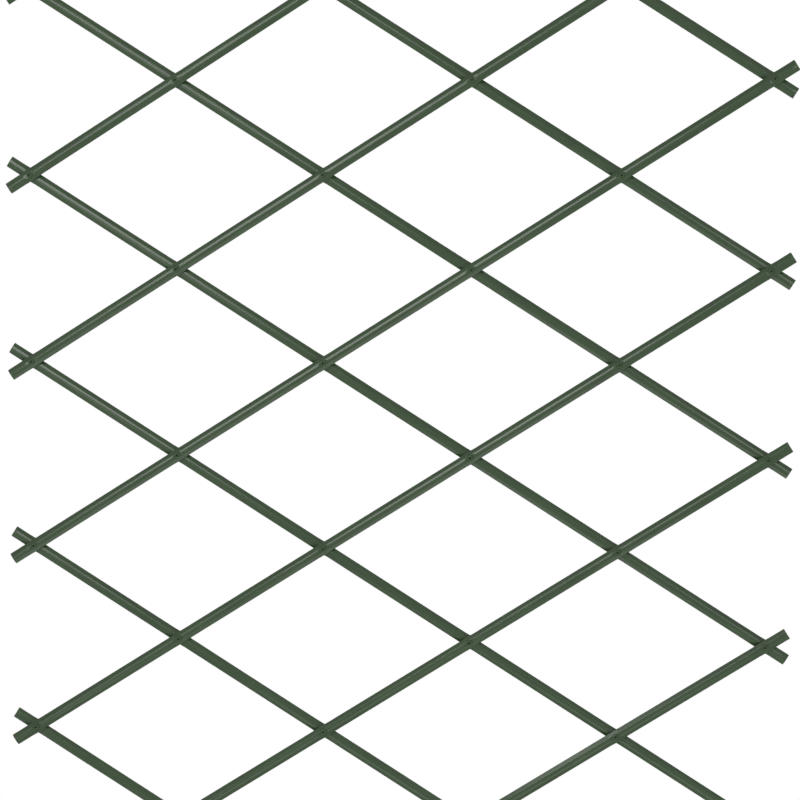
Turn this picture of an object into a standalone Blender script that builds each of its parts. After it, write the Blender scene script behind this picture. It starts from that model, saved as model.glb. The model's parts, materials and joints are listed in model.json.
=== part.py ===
"""Expanding garden trellis: two layers of hollow PVC slats riveted where they cross.

Frame, in metres: +X to the right, +Z up, and the front faces -Y. The wall that carries the trellis
is the plane y = 0, where the flat ends of the rivets rest. The origin is the middle of the flat end
of the fixed rivet, about which the whole lattice opens and closes.

The front slats rise to the right and the back slats fall to the right, both at SLAT_ANGLE. To fold
the trellis, the front slat on the fixed rivet turns by the fold and the back slat there by minus the
fold; each further slat turns on its parent's rivet by twice the fold, front and back the opposite ways.
"""
import math

import bmesh
import bpy
from mathutils import Matrix

# Lattice: rivet columns across, rivets in each column, and the column and row of the fixed rivet.
COLUMNS = 6
ROWS = 7
FIXED_COLUMN = 2
FIXED_ROW = 3
LINK_LENGTH = 0.224
SLAT_ANGLE = math.radians(32.4)

# Slat section: a flattened oval tube with a level band along the middle of each broad face.
SLAT_WIDTH = 0.0150
SLAT_THICKNESS = 0.0066
SLAT_WALL = 0.0010
LEVEL_BAND = 0.0046
EDGE_STEPS = 3
END_OVERHANG = 0.0330

# The shear that cuts a slat to length draws a shallow hollow into the middle of each end.
PINCH_RADIUS = 0.0120
PINCH_DEPTH = 0.0006
PINCH_SIDES = 24

# Rivet: a low domed head in front, a plain shank and an upset end at the back.
SHANK_RADIUS = 0.0020
HEAD_RADIUS = 0.0041
HEAD_CROWN_RADIUS = 0.0030
HEAD_HEIGHT = 0.0010
RECESS_RADIUS = 0.0014
RECESS_DEPTH = 0.0034
UPSET_RADIUS = 0.0036
UPSET_FLAT_RADIUS = 0.0029
UPSET_HEIGHT = 0.0009
RIVET_SIDES = 10
HOLE_SIDES = 8

# Clearances: between stacked faces, and around a shank in its hole.
FACE_GAP = 0.0003
HOLE_CLEARANCE = 0.00015
CUT_OVERRUN = 0.0020
MERGE_DISTANCE = 0.000001
SMOOTH_ANGLE = math.radians(35)

# Distances of the layers from the wall, towards the front.
BACK_LAYER = UPSET_HEIGHT + FACE_GAP
FRONT_LAYER = BACK_LAYER + SLAT_THICKNESS + FACE_GAP
HEAD_SEAT = FRONT_LAYER + SLAT_THICKNESS + FACE_GAP
HEAD_TOP = HEAD_SEAT + HEAD_HEIGHT

COLLECTION = "expanding_trellis"
CUTTERS = "cutters"
FRONT, BACK = "front", "back"


def start_scene():
    """Clear the scene and make one collection for the trellis and one for cutters."""
    for obj in list(bpy.data.objects):
        bpy.data.objects.remove(obj, do_unlink=True)
    for name in (COLLECTION, CUTTERS):
        bpy.context.scene.collection.children.link(bpy.data.collections.new(name))


def add_object(name, data, collection=COLLECTION):
    obj = bpy.data.objects.new(name, data)
    bpy.data.collections[collection].objects.link(obj)
    return obj


def evaluated_mesh(obj, name):
    """Take the object's shape, modifiers included, as a plain mesh with its seams closed."""
    depsgraph = bpy.context.evaluated_depsgraph_get()
    mesh = bpy.data.meshes.new_from_object(obj.evaluated_get(depsgraph))
    mesh.name = name
    bm = bmesh.new()
    bm.from_mesh(mesh)
    bmesh.ops.remove_doubles(bm, verts=bm.verts, dist=MERGE_DISTANCE)
    bm.to_mesh(mesh)
    bm.free()
    return mesh


def plastic(name, colour, roughness):
    material = bpy.data.materials.new(name)
    material.use_nodes = True
    shader = material.node_tree.nodes["Principled BSDF"]
    shader.inputs["Base Color"].default_value = (*colour, 1.0)
    shader.inputs["Roughness"].default_value = roughness
    shader.inputs["Metallic"].default_value = 0.0
    return material


def oval_outline(width, thickness, steps):
    """Outline of the slat's section: two level bands joined by quarter ellipses."""
    reach = (width - LEVEL_BAND) / 2
    quarter = [
        (LEVEL_BAND / 2 + reach * math.sin(turn), thickness / 2 * math.cos(turn))
        for turn in (math.pi / 2 * step / steps for step in range(steps + 1))
    ]
    right = quarter + [(x, -y) for x, y in reversed(quarter[:-1])]
    return right + [(-x, y) for x, y in reversed(right)]


def tube_mesh(length):
    """Straight slat tube along X, its broad faces square to Y, centred on the origin."""
    curve = bpy.data.curves.new("slat_section", "CURVE")
    curve.dimensions = "2D"
    curve.fill_mode = "BOTH"
    curve.extrude = length / 2
    outer = oval_outline(SLAT_WIDTH, SLAT_THICKNESS, EDGE_STEPS)
    inner = oval_outline(SLAT_WIDTH - 2 * SLAT_WALL, SLAT_THICKNESS - 2 * SLAT_WALL, EDGE_STEPS - 1)
    for outline in (outer, inner):
        spline = curve.splines.new("POLY")
        spline.points.add(len(outline) - 1)
        for point, (x, y) in zip(spline.points, outline):
            point.co.xyz = (x, y, 0.0)
        spline.use_cyclic_u = True
    section = add_object("slat_section", curve)
    mesh = evaluated_mesh(section, "slat_tube")
    bpy.data.objects.remove(section)
    mesh.transform(Matrix.Rotation(math.pi / 2, 4, "Y"))
    return mesh


def post_cutter(name, places):
    """One cutter made of upright posts along Y, each given as (x, radius, sides)."""
    bm = bmesh.new()
    depth = SLAT_THICKNESS + 2 * CUT_OVERRUN
    for x, radius, sides in places:
        across = Matrix.Rotation(math.pi / sides, 4, "Y") @ Matrix.Rotation(math.pi / 2, 4, "X")
        bmesh.ops.create_cone(
            bm, cap_ends=True, segments=sides, radius1=radius, radius2=radius, depth=depth,
            matrix=Matrix.Translation((x, 0.0, 0.0)) @ across,
        )
    mesh = bpy.data.meshes.new(name)
    bm.to_mesh(mesh)
    bm.free()
    cutter = add_object(name, mesh, CUTTERS)
    cutter.hide_render = True
    cutter.display_type = "WIRE"
    return cutter


def slat_mesh(count):
    """Slat with `count` rivet holes and pinched ends, its first hole at the origin."""
    length = (count - 1) * LINK_LENGTH + 2 * END_OVERHANG
    slat = add_object("slat_blank", tube_mesh(length))
    hole_radius = (SHANK_RADIUS + HOLE_CLEARANCE) / math.cos(math.pi / HOLE_SIDES)
    first = END_OVERHANG - length / 2
    holes = [(first + place * LINK_LENGTH, hole_radius, HOLE_SIDES) for place in range(count)]
    pinch = length / 2 - PINCH_DEPTH + PINCH_RADIUS
    pinches = [(end * pinch, PINCH_RADIUS, PINCH_SIDES) for end in (-1, 1)]
    cutter = post_cutter("slat_cutter_%d" % count, holes + pinches)
    cut = slat.modifiers.new("holes", "BOOLEAN")
    cut.operation = "DIFFERENCE"
    cut.object = cutter
    mesh = evaluated_mesh(slat, "slat_%d_rivets" % count)
    bpy.data.objects.remove(slat)
    mesh.transform(Matrix.Translation((-first, 0.0, 0.0)))
    mesh.shade_smooth()
    mesh.set_sharp_from_angle(angle=SMOOTH_ANGLE)
    return mesh


def rivet_mesh():
    """Rivet along Y with its flat end on the wall plane and its head in front."""
    profile = [
        (0.0, HEAD_TOP - RECESS_DEPTH),
        (RECESS_RADIUS, HEAD_TOP),
        (HEAD_CROWN_RADIUS, HEAD_TOP),
        (HEAD_RADIUS, HEAD_SEAT),
        (SHANK_RADIUS, HEAD_SEAT),
        (SHANK_RADIUS, UPSET_HEIGHT),
        (UPSET_RADIUS, UPSET_HEIGHT),
        (UPSET_FLAT_RADIUS, 0.0),
        (0.0, 0.0),
    ]
    bm = bmesh.new()
    points = [bm.verts.new((radius, 0.0, height)) for radius, height in profile]
    for start, end in zip(points, points[1:]):
        bm.edges.new((start, end))
    mesh = bpy.data.meshes.new("rivet_profile")
    bm.to_mesh(mesh)
    bm.free()
    turned = add_object("rivet_blank", mesh)
    screw = turned.modifiers.new("turn", "SCREW")
    screw.axis = "Z"
    screw.steps = RIVET_SIDES
    screw.render_steps = RIVET_SIDES
    screw.use_merge_vertices = True
    screw.merge_threshold = MERGE_DISTANCE
    rivet = evaluated_mesh(turned, "rivet")
    bpy.data.objects.remove(turned)
    rivet.transform(Matrix.Rotation(math.pi / 2, 4, "X"))
    rivet.shade_smooth()
    rivet.set_sharp_from_angle(angle=SMOOTH_ANGLE)
    return rivet


def slat_at(family, column, row):
    """Number of the front or back slat that passes a crossing; odd columns sit half a row up."""
    height = row + (column % 2) / 2
    return round(height - column / 2) if family == FRONT else round(height + column / 2)


def lattice():
    """The crossings, as (column, row) to the numbers of their front and back slat.

    A corner crossing is left out where either slat would have no other rivet.
    """
    places = {
        (column, row): {family: slat_at(family, column, row) for family in (FRONT, BACK)}
        for column in range(COLUMNS)
        for row in range(ROWS)
    }

    def rivets_on(family, number):
        return sum(slats[family] == number for slats in places.values())

    return {
        place: slats
        for place, slats in places.items()
        if all(rivets_on(family, number) > 1 for family, number in slats.items())
    }


def joint_tree(crossings):
    """Each slat's parent slat and the crossing whose rivet it turns on, nearest the fixed rivet first."""
    fixed = (FIXED_COLUMN, FIXED_ROW)
    tree = {(family, crossings[fixed][family]): (None, fixed) for family in (FRONT, BACK)}
    waiting = list(tree)
    for slat in waiting:
        family, number = slat
        other = BACK if family == FRONT else FRONT
        for place, slats in sorted(crossings.items()):
            child = (other, slats[other])
            if slats[family] == number and child not in tree:
                tree[child] = (slat, place)
                waiting.append(child)
    return tree


def build():
    start_scene()
    crossings = lattice()
    tree = joint_tree(crossings)
    slat_green = plastic("extruded_pvc_green", (0.061, 0.093, 0.054), 0.42)
    rivet_green = plastic("moulded_nylon_green", (0.045, 0.073, 0.040), 0.5)
    rivet = rivet_mesh()
    rivet.materials.append(rivet_green)

    fixed = add_object("fixed_pivot", None)
    fixed_rivet = add_object("rivet_%d_%d" % (FIXED_COLUMN + 1, FIXED_ROW + 1), rivet)
    fixed_rivet.parent = fixed

    turn = {FRONT: -SLAT_ANGLE, BACK: SLAT_ANGLE}
    layer = {FRONT: FRONT_LAYER, BACK: BACK_LAYER}
    lowest = {family: min(slats[family] for slats in crossings.values()) for family in (FRONT, BACK)}
    slat_meshes = {}
    pivots = {}
    for slat, (parent, place) in tree.items():
        family, number = slat
        columns = sorted(column for (column, row), slats in crossings.items() if slats[family] == number)
        if len(columns) not in slat_meshes:
            slat_meshes[len(columns)] = slat_mesh(len(columns))
            slat_meshes[len(columns)].materials.append(slat_green)
        name = "%s_slat_%d" % (family, number - lowest[family] + 1)

        pivot = add_object(name + "_pivot", None)
        if parent is None:
            pivot.parent = fixed
            pivot.rotation_euler.y = turn[family]
        else:
            parent_pivot, parent_column = pivots[parent]
            pivot.parent = parent_pivot
            pivot.location.x = (place[0] - parent_column) * LINK_LENGTH
            pivot.rotation_euler.y = turn[family] - turn[parent[0]]
        pivots[slat] = (pivot, place[0])

        body = add_object(name, slat_meshes[len(columns)])
        body.parent = pivot
        body.location.x = (columns[0] - place[0]) * LINK_LENGTH
        body.location.y = -(layer[family] + SLAT_THICKNESS / 2)

        if family == FRONT:
            for (column, row), slats in crossings.items():
                if slats[FRONT] != number or (column, row) == (FIXED_COLUMN, FIXED_ROW):
                    continue
                pin = add_object("rivet_%d_%d" % (column + 1, row + 1), rivet)
                pin.parent = pivot
                pin.location.x = (column - place[0]) * LINK_LENGTH


build()
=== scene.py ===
import json
import math

import bmesh
import bpy
from mathutils import Euler, Matrix, Vector


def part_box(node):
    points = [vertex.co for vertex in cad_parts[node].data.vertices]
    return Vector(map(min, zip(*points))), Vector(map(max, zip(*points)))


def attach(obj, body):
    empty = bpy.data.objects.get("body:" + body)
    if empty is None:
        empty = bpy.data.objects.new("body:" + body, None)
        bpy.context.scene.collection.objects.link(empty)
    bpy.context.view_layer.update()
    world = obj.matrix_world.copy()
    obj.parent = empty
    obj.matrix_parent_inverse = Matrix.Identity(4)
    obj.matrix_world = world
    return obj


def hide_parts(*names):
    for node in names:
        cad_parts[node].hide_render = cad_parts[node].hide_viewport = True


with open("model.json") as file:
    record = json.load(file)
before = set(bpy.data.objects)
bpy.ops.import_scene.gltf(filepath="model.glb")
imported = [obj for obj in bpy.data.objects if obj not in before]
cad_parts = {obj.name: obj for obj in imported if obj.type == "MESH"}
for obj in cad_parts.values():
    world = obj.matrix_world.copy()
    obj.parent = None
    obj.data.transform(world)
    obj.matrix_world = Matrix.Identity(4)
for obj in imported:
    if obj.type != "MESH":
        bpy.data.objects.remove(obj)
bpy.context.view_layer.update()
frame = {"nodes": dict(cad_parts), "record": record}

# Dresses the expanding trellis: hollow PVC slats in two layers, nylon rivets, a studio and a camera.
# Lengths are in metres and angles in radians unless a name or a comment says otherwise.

MM = 0.001
BODIES = frame["record"]["behaviour"]["bodies"]

# How finely a slat is drawn: rows along it, and how far rows crowd at the rivets and at the ends.
ROWS_PER_LINK = 72
ROWS_PER_OVERHANG = 22
ROWS_IN_BORE = 44
LINK_CROWDING = 0.80
OVERHANG_CROWDING = 0.70
BORE_CROWDING = 0.95

# Quarter of the section as (share of the half width, share of the half thickness, rounding): the die leaves
# a soft ridge along the middle of each face and two even flanks beside it.
SECTION_SHARES = (
    (0.0, 1.0, 0.12),
    (0.41, 0.82, 0.04),
    (0.95, 0.12, 0.03),
    (1.0, 0.0, 0.03),
)
# A line on each flank keeps it even: this far past a corner's rounding, and within this share of the flank.
SUPPORT_GAP = 0.025
SUPPORT_MOST_SHARE = 0.4
WALL = 1.0 * MM

# The rivet gun squeezes the tube: a level seat under each head and a slightly wider tube beside it.
SEAT_RADIUS = 4.4 * MM
SEAT_BLEND = 3.6 * MM
SEAT_DEPTH = 0.60 * MM
SEAT_EDGE = 0.15 * MM
SWELL = 0.30 * MM
SWELL_NEAR = 3.0 * MM
SWELL_FAR = 13.0 * MM
HOLE_RADIUS = 2.15 * MM
HOLE_SIDES = 24
DRILL_LENGTH = 12.0 * MM

# The shear cuts a slat nearly square: the middle of the end is drawn in a little, and the faces together.
NOTCH_DEPTH = 0.20 * MM
NOTCH_REACH = 5.5 * MM
PINCH_SHARE = 0.10
END_ZONE = 9.0 * MM

# The cut edge of the tube wall, from outer to inner face: (back from the end, share of the wall).
LIP = (
    (0.25 * MM, 0.0),
    (0.07 * MM, 0.14),
    (0.0, 0.38),
    (0.0, 0.62),
    (0.07 * MM, 0.86),
    (0.25 * MM, 1.0),
)

# Thin tube comes off the line with a slight wind, which the rivets take out where they hold it.
WIND = math.radians(1.6)
WIND_LENGTH = 0.21
WIND_FREE = 60.0 * MM
WIND_HELD = 9.0 * MM

# Rivet, with distances from the wall plane: an upset end with a dimple, a shank and a domed head with a
# blind hole. The rounding of an edge is given as (across, up).
DIMPLE_RADIUS = 1.50 * MM
DIMPLE_DEPTH = 0.42 * MM
UPSET_RADIUS = 3.60 * MM
UPSET_HEIGHT = 1.50 * MM
UPSET_WALL_ROUND = (0.85 * MM, 0.62 * MM)
UPSET_SLAT_ROUND = (0.40 * MM, 0.40 * MM)
SHANK_RADIUS = 2.00 * MM
HEAD_SEAT = 14.30 * MM
HEAD_TOP = 16.00 * MM
HEAD_RADIUS = 4.10 * MM
HEAD_SEAT_ROUND = (0.30 * MM, 0.38 * MM)
CROWN_RADIUS = 2.12 * MM
DOME_FLATNESS = 1.27
BLIND_HOLE_RADIUS = 1.40 * MM
BLIND_HOLE_DRAFT = 0.08 * MM
BLIND_HOLE_LIP = 0.80 * MM
BLIND_HOLE_FLOOR = 12.80 * MM
BLIND_HOLE_ROUND = 0.50 * MM

# Steps in the arcs of a rivet's outline and steps round a rivet.
DOME_STEPS = 6
LIP_STEPS = 4
ARC_STEPS = 3
SMALL_ARC_STEPS = 2
RIVET_SEGMENTS = 28

# Edges sharper than this stay sharp, and points nearer to each other than this are one point.
SMOOTH_ANGLE = math.radians(52)
MERGE_DISTANCE = 0.004 * MM

# Attribute that holds each point's place on its slat, and how far the patterns move on from slat to slat.
GRAIN = "grain"
PATTERN_STEP = 3.7

# Patterns on the slats. A stretch is the share of a pattern's scale that is left along the slat.
DIE_LINE_SPACING = 0.9 * MM
DIE_LINE_STRETCH = 0.004
CLOUD_WIDTH = 8.0 * MM
CLOUD_STRETCH = 0.13
SCUFF_LENGTH = 5.0 * MM

# Patterns on the rivets: the grain of the mould's skin and the clouds where the melt flowed.
SKIN_GRAIN = 0.35 * MM
FLOW_LENGTH = 4.0 * MM

# Photograph's camera, fitted to the rivets that it shows: its place, and its turns in degrees.
CAMERA_PLACE = (0.2520, -2.5620, 0.3975)
CAMERA_TURN = (85.440, -0.150, 3.450)
LENS_MM = 90.0
SENSOR_MM = 36.0

# Floor, just out of the folded trellis's reach: this many links below the fixed rivet, an overhang and a gap.
LINKS_BELOW = 6
FLOOR_GAP = 0.5 * MM
FLOOR_MIDDLE = (0.1, 0.0, 0.0)
FLOOR_RADIUS = 1.8
FLOOR_FADE_START = 0.9
FLOOR_SIDES = 64
# The floor is this much of the way from its lit colour to plain white, and all the way at its edge.
FLOOR_WHITE = 0.62

# Soft light from all round, least from above and strongest from below the horizon: directions as heights.
AMBIENT_HIGH = 0.40
AMBIENT_LOW = -0.50
AMBIENT_LEAST = 0.22
AMBIENT_MOST = 0.95
WHITE = (1.0, 1.0, 1.0, 1.0)

# Soft boxes: name, place and the point it faces, both from the middle of the picture, width, height, watts.
PICTURE_MIDDLE = Vector((0.11, 0.0, 0.20))
SOFT_BOXES = (
    ("key", (-0.86, -3.00, 0.97), (0.0, 0.0, 0.0), 1.62, 1.39, 39.0),
    ("side", (1.52, -3.00, 0.73), (0.0, 0.0, 0.0), 0.42, 1.45, 6.9),
    ("left", (-1.12, -1.80, -0.30), (0.0, 0.0, 0.0), 0.40, 1.00, 1.9),
    ("floor_panel", (0.17, -0.63, -0.93), (0.17, -0.63, 0.0), 1.35, 0.60, 3.1),
    ("rear", (0.5, 1.9, 1.1), (0.0, 0.0, 0.0), 1.4, 1.4, 26.0),
)

# Kinds of node, and the sockets of a colour mix: its two colours and its result.
MATH = "ShaderNodeMath"
VECTOR_MATH = "ShaderNodeVectorMath"
COMBINE = "ShaderNodeCombineXYZ"
SEPARATE = "ShaderNodeSeparateXYZ"
RANGE = "ShaderNodeMapRange"
NOISE = "ShaderNodeTexNoise"
MAPPING = "ShaderNodeMapping"
COLOUR_MIX = "ShaderNodeMix"
MIX_A = 6
MIX_B = 7
MIX_RESULT = 2


def add_node(tree, kind, sockets=None, **settings):
    """Add a node with its settings; each listed input gets a value, or a link from a node or socket."""
    node = tree.nodes.new(kind)
    for name, value in settings.items():
        setattr(node, name, value)
    for key, value in (sockets or {}).items():
        if isinstance(value, bpy.types.Node):
            value = value.outputs[0]
        if isinstance(value, bpy.types.NodeSocket):
            tree.links.new(value, node.inputs[key])
        else:
            node.inputs[key].default_value = value
    return node


def add_object(name, data):
    """New object in the scene."""
    obj = bpy.data.objects.new(name, data)
    bpy.context.scene.collection.objects.link(obj)
    return obj


def finished_mesh(bm, name):
    """Mesh made from what was modelled in bm, which is freed."""
    mesh = bpy.data.meshes.new(name)
    bm.to_mesh(mesh)
    bm.free()
    return mesh


def hex_colour(text):
    """Linear colour of an sRGB hex value."""
    channels = [int(text[place:place + 2], 16) / 255 for place in (1, 3, 5)]
    linear = [c / 12.92 if c <= 0.04045 else ((c + 0.055) / 1.055) ** 2.4 for c in channels]
    return (*linear, 1.0)


def new_material(name):
    """Node material with its Principled shader."""
    material = bpy.data.materials.new(name)
    material.use_nodes = True
    return material, material.node_tree, material.node_tree.nodes["Principled BSDF"]


def pvc_patterns(tree):
    """Patterns by place on the slat: the die's lines, clouds in the dye, and where the surface is worn."""
    grain = add_node(tree, "ShaderNodeAttribute", attribute_name=GRAIN).outputs["Vector"]

    # The die's lines lie close together and run on along the slat for some 200 mm.
    line_place = add_node(tree, MAPPING, {"Vector": grain, "Scale": (DIE_LINE_STRETCH, 1.0, 1.0)})
    lines = add_node(tree, NOISE, {
        "Vector": line_place, "Scale": 1 / DIE_LINE_SPACING, "Detail": 2.0, "Roughness": 0.6,
    })
    # The dye is uneven by a few per cent in drawn-out clouds of about 60 by 8 mm.
    cloud_place = add_node(tree, MAPPING, {"Vector": grain, "Scale": (CLOUD_STRETCH, 1.0, 1.0)})
    clouds = add_node(tree, NOISE, {
        "Vector": cloud_place, "Scale": 1 / CLOUD_WIDTH, "Detail": 3.0, "Roughness": 0.55,
    })
    # Handling leaves sparse dull scuffs of 2 to 6 mm.
    scuffs = add_node(tree, NOISE, {
        "Vector": grain, "Scale": 1 / SCUFF_LENGTH, "Detail": 4.0, "Roughness": 0.7, "Distortion": 0.6,
    })
    worn = add_node(tree, RANGE, {
        "Value": scuffs, "From Min": 0.60, "From Max": 0.78, "To Min": 0.0, "To Max": 1.0,
    })
    return lines, clouds, worn


def pvc_colour(tree, lines, clouds, worn):
    """Colour of the dyed PVC: uneven with the clouds, paler where it is worn, and faintly lined."""
    dye = add_node(tree, "ShaderNodeValToRGB", {"Fac": clouds})
    dye.color_ramp.elements[0].position = 0.30
    dye.color_ramp.elements[0].color = hex_colour("#30432B")
    dye.color_ramp.elements[1].position = 0.72
    dye.color_ramp.elements[1].color = hex_colour("#374B31")
    chalky = add_node(tree, COLOUR_MIX, {"Factor": worn, MIX_A: dye, MIX_B: hex_colour("#4A5A43")},
                      data_type="RGBA")
    tone = add_node(tree, RANGE, {
        "Value": lines, "From Min": 0.3, "From Max": 0.7, "To Min": 0.93, "To Max": 1.07,
    })
    toned = add_node(tree, COLOUR_MIX, {"Factor": 1.0, MIX_A: chalky.outputs[MIX_RESULT], MIX_B: tone},
                     data_type="RGBA", blend_type="MULTIPLY")
    return toned.outputs[MIX_RESULT]


def extruded_pvc():
    """Rigid PVC, extruded and dyed through: satin, with faint lines from the die along each slat."""
    material, tree, shader = new_material("extruded_pvc_dark_green")
    lines, clouds, worn = pvc_patterns(tree)
    tree.links.new(pvc_colour(tree, lines, clouds, worn), shader.inputs["Base Color"])
    gloss = add_node(tree, RANGE, {
        "Value": lines, "From Min": 0.3, "From Max": 0.7, "To Min": 0.15, "To Max": 0.20,
    })
    dull = add_node(tree, MATH, {0: worn, 1: 0.12, 2: gloss}, operation="MULTIPLY_ADD")
    tree.links.new(dull.outputs[0], shader.inputs["Roughness"])

    ridges = add_node(tree, "ShaderNodeBump", {"Height": lines, "Strength": 0.6, "Distance": 0.018 * MM})
    ripple = add_node(tree, "ShaderNodeBump", {
        "Height": clouds, "Strength": 0.25, "Distance": 0.12 * MM, "Normal": ridges,
    })
    tree.links.new(ripple.outputs[0], shader.inputs["Normal"])
    shader.inputs["IOR"].default_value = 1.38
    return material


def moulded_nylon():
    """Nylon 6, injection moulded: the same green a little deeper, with a fine even spark-eroded skin."""
    material, tree, shader = new_material("moulded_nylon_dark_green")
    place = add_node(tree, "ShaderNodeTexCoord").outputs["Object"]
    skin = add_node(tree, NOISE, {"Vector": place, "Scale": 1 / SKIN_GRAIN, "Detail": 2.0, "Roughness": 0.5})

    # The melt's flow leaves the dye and the gloss a little uneven.
    flow = add_node(tree, NOISE, {"Vector": place, "Scale": 1 / FLOW_LENGTH, "Detail": 2.0, "Roughness": 0.5})
    dye = add_node(tree, "ShaderNodeValToRGB", {"Fac": flow})
    dye.color_ramp.elements[0].position = 0.32
    dye.color_ramp.elements[0].color = hex_colour("#263C1E")
    dye.color_ramp.elements[1].position = 0.70
    dye.color_ramp.elements[1].color = hex_colour("#304628")
    tree.links.new(dye.outputs[0], shader.inputs["Base Color"])
    gloss = add_node(tree, RANGE, {
        "Value": flow, "From Min": 0.3, "From Max": 0.7, "To Min": 0.42, "To Max": 0.52,
    })
    tree.links.new(gloss.outputs[0], shader.inputs["Roughness"])

    grit = add_node(tree, "ShaderNodeBump", {"Height": skin, "Strength": 0.15, "Distance": 0.03 * MM})
    tree.links.new(grit.outputs[0], shader.inputs["Normal"])
    shader.inputs["IOR"].default_value = 1.42
    return material


def spaced(length, rows, crowding):
    """Places from 0 to length that crowd towards both ends."""
    shares = [row / rows for row in range(rows + 1)]
    return [length * (share - crowding * math.sin(2 * math.pi * share) / (2 * math.pi)) for share in shares]


def wall_line(rivets, link, overhang):
    """Closed line round the wall of a slat cut along its length, as (place along it, depth in the wall)."""
    start = -overhang
    last_rivet = (rivets - 1) * link
    end = last_rivet + overhang
    overhang_rows = spaced(overhang, ROWS_PER_OVERHANG, OVERHANG_CROWDING)
    link_rows = spaced(link, ROWS_PER_LINK, LINK_CROWDING)
    outer = [start + place for place in overhang_rows]
    for number in range(rivets - 1):
        outer += [number * link + place for place in link_rows[1:]]
    outer += [last_rivet + place for place in overhang_rows[1:]]
    outer[0] = start + LIP[0][0]
    outer[-1] = end - LIP[0][0]

    bore_end = end - LIP[-1][0]
    bore_length = end - start - 2 * LIP[-1][0]
    bore = [bore_end - place for place in spaced(bore_length, ROWS_IN_BORE, BORE_CROWDING)]
    far_lip = [(end - back, share * WALL) for back, share in LIP[1:-1]]
    near_lip = [(start + back, share * WALL) for back, share in reversed(LIP[1:-1])]
    return [(place, 0.0) for place in outer] + far_lip + [(place, WALL) for place in bore] + near_lip


def beside_corner(corner, other, rounding):
    """Points on the flank from one corner to another: its support line, then where the rounding starts."""
    flank = other - corner
    steps = (rounding + SUPPORT_GAP, rounding)
    return [corner + flank * min(SUPPORT_MOST_SHARE, step / flank.length) for step in steps]


def section_outline():
    """The whole section in order round it: each corner rounded, with a support line on either side of it."""
    upper = [(-across, out, rounding) for across, out, rounding in reversed(SECTION_SHARES)]
    upper += SECTION_SHARES[1:]
    corners = upper + [(-across, -out, rounding) for across, out, rounding in upper[1:-1]]
    outline = []
    for number, (across, out, rounding) in enumerate(corners):
        corner = Vector((across, out))
        last = Vector(corners[number - 1][:2])
        following = Vector(corners[(number + 1) % len(corners)][:2])
        before = beside_corner(corner, last, rounding)
        after = beside_corner(corner, following, rounding)
        middle = (before[1] + 2 * corner + after[1]) / 4
        outline += [*before, middle, *reversed(after)]
    return [(point.x, point.y, 0.0) for point in outline]


def line_mesh(name, points):
    """Mesh of loose points joined in order."""
    mesh = bpy.data.meshes.new(name)
    mesh.from_pydata(points, [(at, at + 1) for at in range(len(points) - 1)], [])
    return mesh


def add_inputs(tree, inputs):
    """Give a geometry tree its geometry socket, its named inputs and its output."""
    tree.interface.new_socket("Geometry", in_out="INPUT", socket_type="NodeSocketGeometry")
    for name, kind in inputs.items():
        tree.interface.new_socket(name, in_out="INPUT", socket_type="NodeSocket" + kind)
    tree.interface.new_socket("Geometry", in_out="OUTPUT", socket_type="NodeSocketGeometry")
    return tree.nodes.new("NodeGroupInput").outputs


def swept_grid(tree, given):
    """Grid with a row for each point of the wall line and one more column than there are sides.

    Also gives each point's place along the slat, its depth in the wall and its corner of the section.
    """
    line_count = add_node(tree, "GeometryNodeAttributeDomainSize", {"Geometry": given["Geometry"]})
    line_points = line_count.outputs["Point Count"]
    rows = add_node(tree, MATH, {0: line_points, 1: 1.0}, operation="ADD")
    columns = add_node(tree, MATH, {0: given["Sides"], 1: 1.0}, operation="ADD")
    grid = add_node(tree, "GeometryNodeMeshGrid", {"Vertices X": rows, "Vertices Y": columns})
    index = add_node(tree, "GeometryNodeInputIndex")
    row_place = add_node(tree, MATH, {0: index, 1: columns}, operation="DIVIDE")
    row_number = add_node(tree, MATH, {0: row_place}, operation="FLOOR")
    row = add_node(tree, MATH, {0: row_number, 1: line_points}, operation="MODULO")
    column = add_node(tree, MATH, {0: index, 1: columns}, operation="MODULO")
    side = add_node(tree, MATH, {0: column, 1: given["Sides"]}, operation="MODULO")

    here = add_node(tree, "GeometryNodeInputPosition")
    sampled = add_node(tree, "GeometryNodeSampleIndex", {
        "Geometry": given["Geometry"], "Value": here, "Index": row,
    }, data_type="FLOAT_VECTOR")
    station = add_node(tree, SEPARATE, {0: sampled})
    outline = add_node(tree, "GeometryNodeObjectInfo", {"Object": given["Section"]})
    corner = add_node(tree, "GeometryNodeSampleIndex", {
        "Geometry": outline.outputs["Geometry"], "Value": here, "Index": side,
    }, data_type="FLOAT_VECTOR")
    shares = add_node(tree, SEPARATE, {0: corner})
    return grid, station.outputs["X"], station.outputs["Y"], shares


def swollen_section(tree, given, along, depth, shares):
    """Place of each point across the slat and out of its middle plane; the tube swells beside a rivet."""
    half_link = add_node(tree, MATH, {0: given["Link"], 1: 0.5}, operation="MULTIPLY")
    from_rivet = add_node(tree, MATH, {0: along, 1: half_link}, operation="PINGPONG")
    swell = add_node(tree, RANGE, {
        "Value": from_rivet, "From Min": SWELL_NEAR, "From Max": SWELL_FAR, "To Min": SWELL, "To Max": 0.0,
    }, interpolation_type="SMOOTHSTEP")
    swollen = add_node(tree, MATH, {0: given["Width"], 1: 0.5, 2: swell}, operation="MULTIPLY_ADD")
    half_width = add_node(tree, MATH, {0: swollen, 1: depth}, operation="SUBTRACT")
    outer_half = add_node(tree, MATH, {0: given["Thickness"], 1: 0.5}, operation="MULTIPLY")
    half_thick = add_node(tree, MATH, {0: outer_half, 1: depth}, operation="SUBTRACT")
    across = add_node(tree, MATH, {0: half_width, 1: shares.outputs["X"]}, operation="MULTIPLY")
    domed = add_node(tree, MATH, {0: half_thick, 1: shares.outputs["Y"]}, operation="MULTIPLY")
    return from_rivet, across, domed, outer_half


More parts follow.
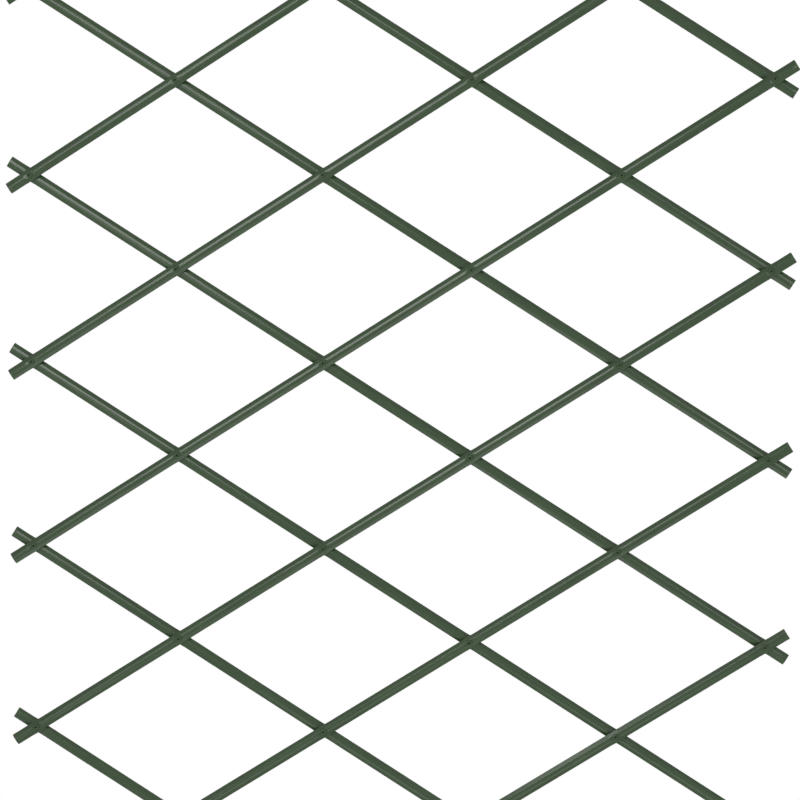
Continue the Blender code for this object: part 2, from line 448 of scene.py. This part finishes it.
def pressed_seats(tree, from_rivet, across, domed, outer_half):
    """The face under each head is pressed level."""
    spot = add_node(tree, COMBINE, {"X": from_rivet, "Y": across})
    radius = add_node(tree, VECTOR_MATH, {0: spot}, operation="LENGTH")
    press = add_node(tree, RANGE, {
        "Value": radius.outputs["Value"], "From Min": SEAT_RADIUS, "From Max": SEAT_RADIUS + SEAT_BLEND,
        "To Min": SEAT_DEPTH, "To Max": 0.0,
    }, interpolation_type="SMOOTHSTEP")
    level = add_node(tree, MATH, {0: outer_half, 1: press}, operation="SUBTRACT")
    return add_node(tree, MATH, {0: domed, 1: level, 2: SEAT_EDGE}, operation="SMOOTH_MIN")


def sheared_ends(tree, given, along, across, seated):
    """The ends are drawn in and together where the shear closed on them."""
    far_end = add_node(tree, MATH, {0: given["Rivets"], 1: 1.0}, operation="SUBTRACT")
    last_rivet = add_node(tree, MATH, {0: far_end, 1: given["Link"]}, operation="MULTIPLY")
    to_start = add_node(tree, MATH, {0: along, 1: given["Overhang"]}, operation="ADD")
    past_last = add_node(tree, MATH, {0: last_rivet, 1: given["Overhang"]}, operation="ADD")
    to_end = add_node(tree, MATH, {0: past_last, 1: along}, operation="SUBTRACT")
    to_cut = add_node(tree, MATH, {0: to_start, 1: to_end}, operation="MINIMUM")
    near_cut = add_node(tree, RANGE, {
        "Value": to_cut, "From Min": 0.0, "From Max": END_ZONE, "To Min": 1.0, "To Max": 0.0,
    }, interpolation_type="SMOOTHSTEP")
    off_centre = add_node(tree, MATH, {0: across}, operation="ABSOLUTE")
    middle = add_node(tree, RANGE, {
        "Value": off_centre, "From Min": 0.0, "From Max": NOTCH_REACH, "To Min": 1.0, "To Max": 0.0,
    }, interpolation_type="SMOOTHSTEP")
    drawn = add_node(tree, MATH, {0: near_cut, 1: middle}, operation="MULTIPLY")

    inward = add_node(tree, MATH, {0: to_end, 1: to_start}, operation="SUBTRACT")
    inward_sign = add_node(tree, MATH, {0: inward}, operation="SIGN")
    notch = add_node(tree, MATH, {0: drawn, 1: NOTCH_DEPTH}, operation="MULTIPLY")
    length_place = add_node(tree, MATH, {0: notch, 1: inward_sign, 2: along}, operation="MULTIPLY_ADD")
    thinned = add_node(tree, MATH, {0: drawn, 1: -PINCH_SHARE, 2: 1.0}, operation="MULTIPLY_ADD")
    pinched = add_node(tree, MATH, {0: seated, 1: thinned}, operation="MULTIPLY")
    return length_place, pinched


def wound(tree, given, along, from_rivet, across, pinched):
    """Between rivets the tube winds a little about its own length."""
    wind_place = add_node(tree, MATH, {0: along, 1: 1 / WIND_LENGTH, 2: given["Seed"]},
                          operation="MULTIPLY_ADD")
    wind_noise = add_node(tree, NOISE, {"W": wind_place, "Scale": 1.0, "Detail": 1.0}, noise_dimensions="1D")
    wind = add_node(tree, RANGE, {
        "Value": wind_noise, "From Min": 0.25, "From Max": 0.75, "To Min": -WIND, "To Max": WIND,
    })
    free = add_node(tree, RANGE, {
        "Value": from_rivet, "From Min": WIND_HELD, "From Max": WIND_FREE, "To Min": 0.0, "To Max": 1.0,
    }, interpolation_type="SMOOTHSTEP")
    free_wind = add_node(tree, MATH, {0: wind, 1: free}, operation="MULTIPLY")
    return add_node(tree, MATH, {0: free_wind, 1: across, 2: pinched}, operation="MULTIPLY_ADD")


def rivet_holes(tree, given, tube):
    """Drill the tube through at each rivet."""
    step = add_node(tree, COMBINE, {"X": given["Link"]})
    spots = add_node(tree, "GeometryNodeMeshLine", {"Count": given["Rivets"], "Offset": step})
    drill = add_node(tree, "GeometryNodeMeshCylinder", {
        "Vertices": HOLE_SIDES, "Radius": HOLE_RADIUS, "Depth": DRILL_LENGTH,
    })
    drills = add_node(tree, "GeometryNodeInstanceOnPoints", {
        "Points": spots, "Instance": drill.outputs["Mesh"], "Rotation": Euler((math.pi / 2, 0.0, 0.0)),
    })
    cutters = add_node(tree, "GeometryNodeRealizeInstances", {"Geometry": drills})
    return add_node(tree, "GeometryNodeMeshBoolean", {"Mesh 1": tube, "Mesh 2": cutters},
                    operation="DIFFERENCE", solver="EXACT")


def finished_slat(tree, given, drilled):
    """Store each point's place on the slat for the shader's patterns, and set the slat where it belongs."""
    here = add_node(tree, "GeometryNodeInputPosition")
    grain_start = add_node(tree, COMBINE, {"X": given["Seed"], "Y": given["Seed"]})
    grain = add_node(tree, VECTOR_MATH, {0: here, 1: grain_start}, operation="ADD")
    stored = add_node(tree, "GeometryNodeStoreNamedAttribute", {
        "Geometry": drilled, "Name": GRAIN, "Value": grain,
    }, data_type="FLOAT_VECTOR", domain="POINT")
    placed = add_node(tree, "GeometryNodeTransform", {
        "Geometry": stored, "Translation": given["Place"], "Rotation": given["Turn"],
    })
    smooth = add_node(tree, "GeometryNodeSetShadeSmooth", {"Geometry": placed})
    real = add_node(tree, "GeometryNodeRealizeInstances", {"Geometry": smooth})
    return add_node(tree, "GeometryNodeSetMaterial", {"Geometry": real, "Material": given["Material"]})


def slat_tree():
    """Tree that sweeps the section along the wall line of a slat and shapes its seats, ends and holes."""
    tree = bpy.data.node_groups.new("slat", "GeometryNodeTree")
    given = add_inputs(tree, {
        "Rivets": "Int", "Link": "Float", "Overhang": "Float", "Width": "Float", "Thickness": "Float",
        "Section": "Object", "Sides": "Int", "Place": "Vector", "Turn": "Rotation", "Seed": "Float",
        "Material": "Material",
    })
    grid, along, depth, shares = swept_grid(tree, given)
    from_rivet, across, domed, outer_half = swollen_section(tree, given, along, depth, shares)
    seated = pressed_seats(tree, from_rivet, across, domed, outer_half)
    length_place, pinched = sheared_ends(tree, given, along, across, seated)
    out = wound(tree, given, along, from_rivet, across, pinched)
    position = add_node(tree, COMBINE, {"X": length_place, "Y": out, "Z": across})
    tube = add_node(tree, "GeometryNodeSetPosition", {"Geometry": grid, "Position": position})
    closed = add_node(tree, "GeometryNodeMergeByDistance", {"Geometry": tube, "Distance": MERGE_DISTANCE})
    drilled = rivet_holes(tree, given, closed)
    add_node(tree, "NodeGroupOutput", {"Geometry": finished_slat(tree, given, drilled)})
    return tree


def rivet_tree():
    """Tree that sets a rivet at each point and gives each its own turn about its axis."""
    tree = bpy.data.node_groups.new("rivets", "GeometryNodeTree")
    given = add_inputs(tree, {"Rivet": "Object", "Seed": "Int", "Material": "Material"})
    master = add_node(tree, "GeometryNodeObjectInfo", {"Object": given["Rivet"]})
    chance = add_node(tree, "FunctionNodeRandomValue", {
        "Max": (0.0, 2 * math.pi, 0.0), "Seed": given["Seed"],
    }, data_type="FLOAT_VECTOR")
    points = add_node(tree, "GeometryNodeMeshToPoints", {"Mesh": given["Geometry"]})
    rivets = add_node(tree, "GeometryNodeInstanceOnPoints", {
        "Points": points, "Instance": master.outputs["Geometry"], "Rotation": chance,
    })
    real = add_node(tree, "GeometryNodeRealizeInstances", {"Geometry": rivets})
    finished = add_node(tree, "GeometryNodeSetMaterial", {"Geometry": real, "Material": given["Material"]})
    add_node(tree, "NodeGroupOutput", {"Geometry": finished})
    return tree


def clean_rims(mesh):
    """Take out double and mid-edge points that drilling leaves on the rims, and split its long faces."""
    bm = bmesh.new()
    bm.from_mesh(mesh)
    bmesh.ops.remove_doubles(bm, verts=bm.verts, dist=MERGE_DISTANCE)
    mid_edge = [vert for vert in bm.verts if len(vert.link_edges) == 2]
    bmesh.ops.dissolve_verts(bm, verts=mid_edge)
    long_faces = [face for face in bm.faces if len(face.verts) > 4]
    bmesh.ops.triangulate(bm, faces=long_faces, ngon_method="BEAUTY")
    bm.to_mesh(mesh)
    bm.free()


def grow(name, mesh, tree, values):
    """Run a geometry tree on a mesh and keep the result as a plain mesh on an object at the origin."""
    obj = add_object(name, mesh)
    modifier = obj.modifiers.new("shape", "NODES")
    modifier.node_group = tree
    for item in tree.interface.items_tree:
        if item.in_out == "INPUT" and item.name in values:
            modifier[item.identifier] = values[item.name]
    depsgraph = bpy.context.evaluated_depsgraph_get()
    grown = bpy.data.meshes.new_from_object(obj.evaluated_get(depsgraph))
    obj.modifiers.clear()
    obj.data = grown
    grown.name = name
    bpy.data.meshes.remove(mesh)
    clean_rims(grown)
    grown.set_sharp_from_angle(angle=SMOOTH_ANGLE)
    return obj


def arc(middle, radii, first, last, steps, flatness=1.0):
    """Part of an ellipse as (radius, height), from one angle to another in degrees: 0 is outwards, 90 is up.

    A flatness above 1 draws the arc nearer to a straight line between its ends.
    """
    points = []
    for step in range(steps + 1):
        turn = math.radians(first + (last - first) * step / steps)
        across = math.copysign(abs(math.cos(turn)) ** flatness, math.cos(turn))
        up = math.copysign(abs(math.sin(turn)) ** flatness, math.sin(turn))
        points.append((middle[0] + radii[0] * across, middle[1] + radii[1] * up))
    return points


def upset_outline():
    """Half outline of a rivet's end at the wall as (radius, distance from the wall)."""
    wall_across, wall_up = UPSET_WALL_ROUND
    slat_across, slat_up = UPSET_SLAT_ROUND
    wall_middle = (UPSET_RADIUS - wall_across, wall_up)
    slat_middle = (UPSET_RADIUS - slat_across, UPSET_HEIGHT - slat_up)
    dimple = arc((0.0, 0.0), (DIMPLE_RADIUS, DIMPLE_DEPTH), 90, 0, ARC_STEPS)
    wall_edge = arc(wall_middle, UPSET_WALL_ROUND, -90, 0, ARC_STEPS)
    slat_edge = arc(slat_middle, UPSET_SLAT_ROUND, 0, 90, SMALL_ARC_STEPS)
    return dimple + wall_edge + slat_edge


def head_outline():
    """Half outline of a rivet's head and blind hole as (radius, distance from the wall)."""
    seat_across, seat_up = HEAD_SEAT_ROUND
    widest = HEAD_SEAT + seat_up
    seat_edge = arc((HEAD_RADIUS - seat_across, widest), HEAD_SEAT_ROUND, -90, 0, SMALL_ARC_STEPS)
    dome_radii = (HEAD_RADIUS - CROWN_RADIUS, HEAD_TOP - widest)
    dome = arc((CROWN_RADIUS, widest), dome_radii, 0, 90, DOME_STEPS, DOME_FLATNESS)
    lip_radii = (CROWN_RADIUS - BLIND_HOLE_RADIUS, BLIND_HOLE_LIP)
    lip = arc((CROWN_RADIUS, HEAD_TOP - BLIND_HOLE_LIP), lip_radii, 90, 180, LIP_STEPS)
    hole_radii = (BLIND_HOLE_RADIUS - BLIND_HOLE_DRAFT, BLIND_HOLE_ROUND)
    hole = arc((0.0, BLIND_HOLE_FLOOR + BLIND_HOLE_ROUND), hole_radii, 0, -90, ARC_STEPS)
    return seat_edge + dome[1:] + lip[1:] + hole


def whole_rivet():
    """One rivet, turned from its outline about the Y axis, its flat end on the wall plane."""
    shank = [(SHANK_RADIUS, UPSET_HEIGHT), (SHANK_RADIUS, HEAD_SEAT)]
    outline = upset_outline() + shank + head_outline()
    bm = bmesh.new()
    points = [bm.verts.new((radius, -height, 0.0)) for radius, height in outline]
    edges = [bm.edges.new(pair) for pair in zip(points, points[1:])]
    bmesh.ops.spin(bm, geom=points + edges, axis=(0.0, 1.0, 0.0), cent=(0.0, 0.0, 0.0),
                   steps=RIVET_SEGMENTS, angle=2 * math.pi)
    bmesh.ops.remove_doubles(bm, verts=bm.verts, dist=MERGE_DISTANCE)
    bmesh.ops.recalc_face_normals(bm, faces=bm.faces)
    for face in bm.faces:
        face.smooth = True
    return add_object("rivet", finished_mesh(bm, "rivet"))


def centre(node):
    """Middle of a CAD node's box."""
    low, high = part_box(node)
    return (low + high) / 2


def reach(node, direction):
    """How far a CAD node reaches back and forth along a direction."""
    places = [vertex.co.dot(direction) for vertex in frame["nodes"][node].data.vertices]
    return min(places), max(places)


def slat_axes(family, lean):
    """Axes of a slat: along it, out of its riveted face, and across it."""
    rise = math.sin(lean) if family == "front" else -math.sin(lean)
    along = Vector((math.cos(lean), 0.0, rise))
    out = Vector((0.0, -1.0, 0.0)) if family == "front" else Vector((0.0, 1.0, 0.0))
    return along, out, along.cross(out)


def lattice_sizes():
    """Lean of the slats, distance between rivets and length past a slat's last rivet, from the CAD nodes."""
    fixed = centre("rivet_3_4")
    neighbour = centre("rivet_4_4")
    link_line = Vector((neighbour.x - fixed.x, 0.0, neighbour.z - fixed.z))
    lean = math.atan2(link_line.z, link_line.x)
    along = slat_axes("front", lean)[0]
    rivets = [node for node in BODIES["front_slat_5"] if node.startswith("rivet")]
    first_rivet = min(centre(node).dot(along) for node in rivets)
    overhang = first_rivet - reach("front_slat_5", along)[0]
    return lean, link_line.length, overhang


def dress_slats(material, lean, link, overhang):
    """Replace each plain slat by its finely shaped tube."""
    tree = slat_tree()
    corners = section_outline()
    outline = add_object("section", line_mesh("section", corners))
    slats = [body for body in BODIES if "slat" in body]
    for number, body in enumerate(sorted(slats)):
        along, out, across = slat_axes(body.split("_")[0], lean)
        start, end = reach(body, along)
        inner, outer = reach(body, out)
        low, high = reach(body, across)
        rivets = round((end - start - 2 * overhang) / link) + 1
        first_rivet = along * (start + overhang) + out * (inner + outer) / 2 + across * (low + high) / 2
        turn = Matrix((along, out, across)).transposed().to_euler()
        line = [(place, depth, 0.0) for place, depth in wall_line(rivets, link, overhang)]
        tube = grow(body + "_tube", line_mesh(body + "_line", line), tree, {
            "Rivets": rivets, "Link": link, "Overhang": overhang, "Width": high - low,
            "Thickness": outer - inner, "Section": outline, "Sides": len(corners), "Place": first_rivet,
            "Turn": turn, "Seed": PATTERN_STEP * (number + 1), "Material": material,
        })
        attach(tube, body)
        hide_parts(body)
    bpy.data.objects.remove(outline)


def dress_rivets(material):
    """Replace the plain rivets, one piece for all rivets of a body."""
    tree = rivet_tree()
    master = whole_rivet()
    for number, (body, nodes) in enumerate(sorted(BODIES.items())):
        rivets = sorted(node for node in nodes if node.startswith("rivet"))
        if not rivets:
            continue
        points = [(centre(node).x, 0.0, centre(node).z) for node in rivets]
        name = "centre_rivet" if body == "fixed_rivet" else body + "_rivets"
        piece = grow(name, line_mesh(name + "_points", points), tree, {
            "Rivet": master, "Seed": number, "Material": material,
        })
        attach(piece, body)
        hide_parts(*rivets)
    bpy.data.objects.remove(master)


def white_seen(tree):
    """1 for what the camera sees straight, mirrored or through something, 0 for what lights the object."""
    rays = add_node(tree, "ShaderNodeLightPath")
    seen = add_node(tree, MATH, {0: rays.outputs["Is Camera Ray"], 1: rays.outputs["Is Glossy Ray"]},
                    operation="MAXIMUM")
    return add_node(tree, MATH, {0: seen, 1: rays.outputs["Is Transmission Ray"]}, operation="MAXIMUM")


def matt_floor_finish():
    """Matt pale paint, which keeps the shadow and fades to white towards the floor's edge."""
    material, tree, shader = new_material("matt_pale_floor")
    shader.inputs["Base Color"].default_value = hex_colour("#F2F2F0")
    shader.inputs["Roughness"].default_value = 0.9
    shader.inputs["Specular IOR Level"].default_value = 0.1
    place = add_node(tree, "ShaderNodeTexCoord")
    middle = add_node(tree, VECTOR_MATH, {0: place.outputs["Object"], 1: FLOOR_MIDDLE}, operation="SUBTRACT")
    flat = add_node(tree, VECTOR_MATH, {0: middle, 1: (1.0, 1.0, 0.0)}, operation="MULTIPLY")
    away = add_node(tree, VECTOR_MATH, {0: flat}, operation="LENGTH")
    fade = add_node(tree, RANGE, {
        "Value": away.outputs["Value"], "From Min": FLOOR_FADE_START, "From Max": FLOOR_RADIUS,
        "To Min": FLOOR_WHITE, "To Max": 1.0,
    }, interpolation_type="SMOOTHSTEP")
    share = add_node(tree, MATH, {0: white_seen(tree), 1: fade}, operation="MULTIPLY")
    white = add_node(tree, "ShaderNodeEmission", {"Color": WHITE, "Strength": 1.0})
    both = add_node(tree, "ShaderNodeMixShader", {0: share, 1: shader, 2: white})
    tree.links.new(both.outputs[0], tree.nodes["Material Output"].inputs["Surface"])
    return material


def pale_floor(level):
    """Round floor at a level, with its middle under the trellis."""
    bm = bmesh.new()
    bmesh.ops.create_circle(bm, cap_ends=True, segments=FLOOR_SIDES, radius=FLOOR_RADIUS,
                            matrix=Matrix.Translation((FLOOR_MIDDLE[0], FLOOR_MIDDLE[1], level)))
    mesh = finished_mesh(bm, "floor")
    mesh.materials.append(matt_floor_finish())
    floor = add_object("floor", mesh)


def white_world():
    """White all round to the camera and in reflections, and a lower soft light on everything else."""
    world = bpy.data.worlds.new("studio")
    bpy.context.scene.world = world
    world.use_nodes = True
    tree = world.node_tree
    tree.nodes.clear()
    place = add_node(tree, "ShaderNodeTexCoord")
    direction = add_node(tree, SEPARATE, {0: place.outputs["Generated"]})
    fall = add_node(tree, RANGE, {
        "Value": direction.outputs["Z"], "From Min": AMBIENT_HIGH, "From Max": AMBIENT_LOW,
        "To Min": AMBIENT_LEAST, "To Max": AMBIENT_MOST,
    })
    ambient = add_node(tree, "ShaderNodeBackground", {"Color": WHITE, "Strength": fall})
    white = add_node(tree, "ShaderNodeBackground", {"Color": WHITE, "Strength": 1.0})
    both = add_node(tree, "ShaderNodeMixShader", {0: white_seen(tree), 1: ambient, 2: white})
    add_node(tree, "ShaderNodeOutputWorld", {"Surface": both})


def soft_boxes():
    """The studio's lamps, unseen by the camera."""
    for name, place, faces, width, height, watts in SOFT_BOXES:
        light = bpy.data.lights.new(name, "AREA")
        light.shape = "RECTANGLE"
        light.size = width
        light.size_y = height
        light.energy = watts
        lamp = add_object(name, light)
        lamp.location = PICTURE_MIDDLE + Vector(place)
        lamp.rotation_euler = (Vector(place) - Vector(faces)).to_track_quat("Z", "Y").to_euler()
        lamp.visible_camera = False


def photograph_camera():
    """Camera that sees the trellis as the photograph does."""
    data = bpy.data.cameras.new("camera")
    data.lens = LENS_MM
    data.sensor_width = SENSOR_MM
    data.sensor_fit = "HORIZONTAL"
    camera = add_object("camera", data)
    camera.location = CAMERA_PLACE
    camera.rotation_euler = [math.radians(turn) for turn in CAMERA_TURN]
    bpy.context.scene.camera = camera


LEAN, LINK, OVERHANG = lattice_sizes()
dress_slats(extruded_pvc(), LEAN, LINK, OVERHANG)
dress_rivets(moulded_nylon())
pale_floor(-LINKS_BELOW * LINK - OVERHANG - FLOOR_GAP)
white_world()
soft_boxes()
photograph_camera()
bpy.context.scene.view_settings.view_transform = "Standard"
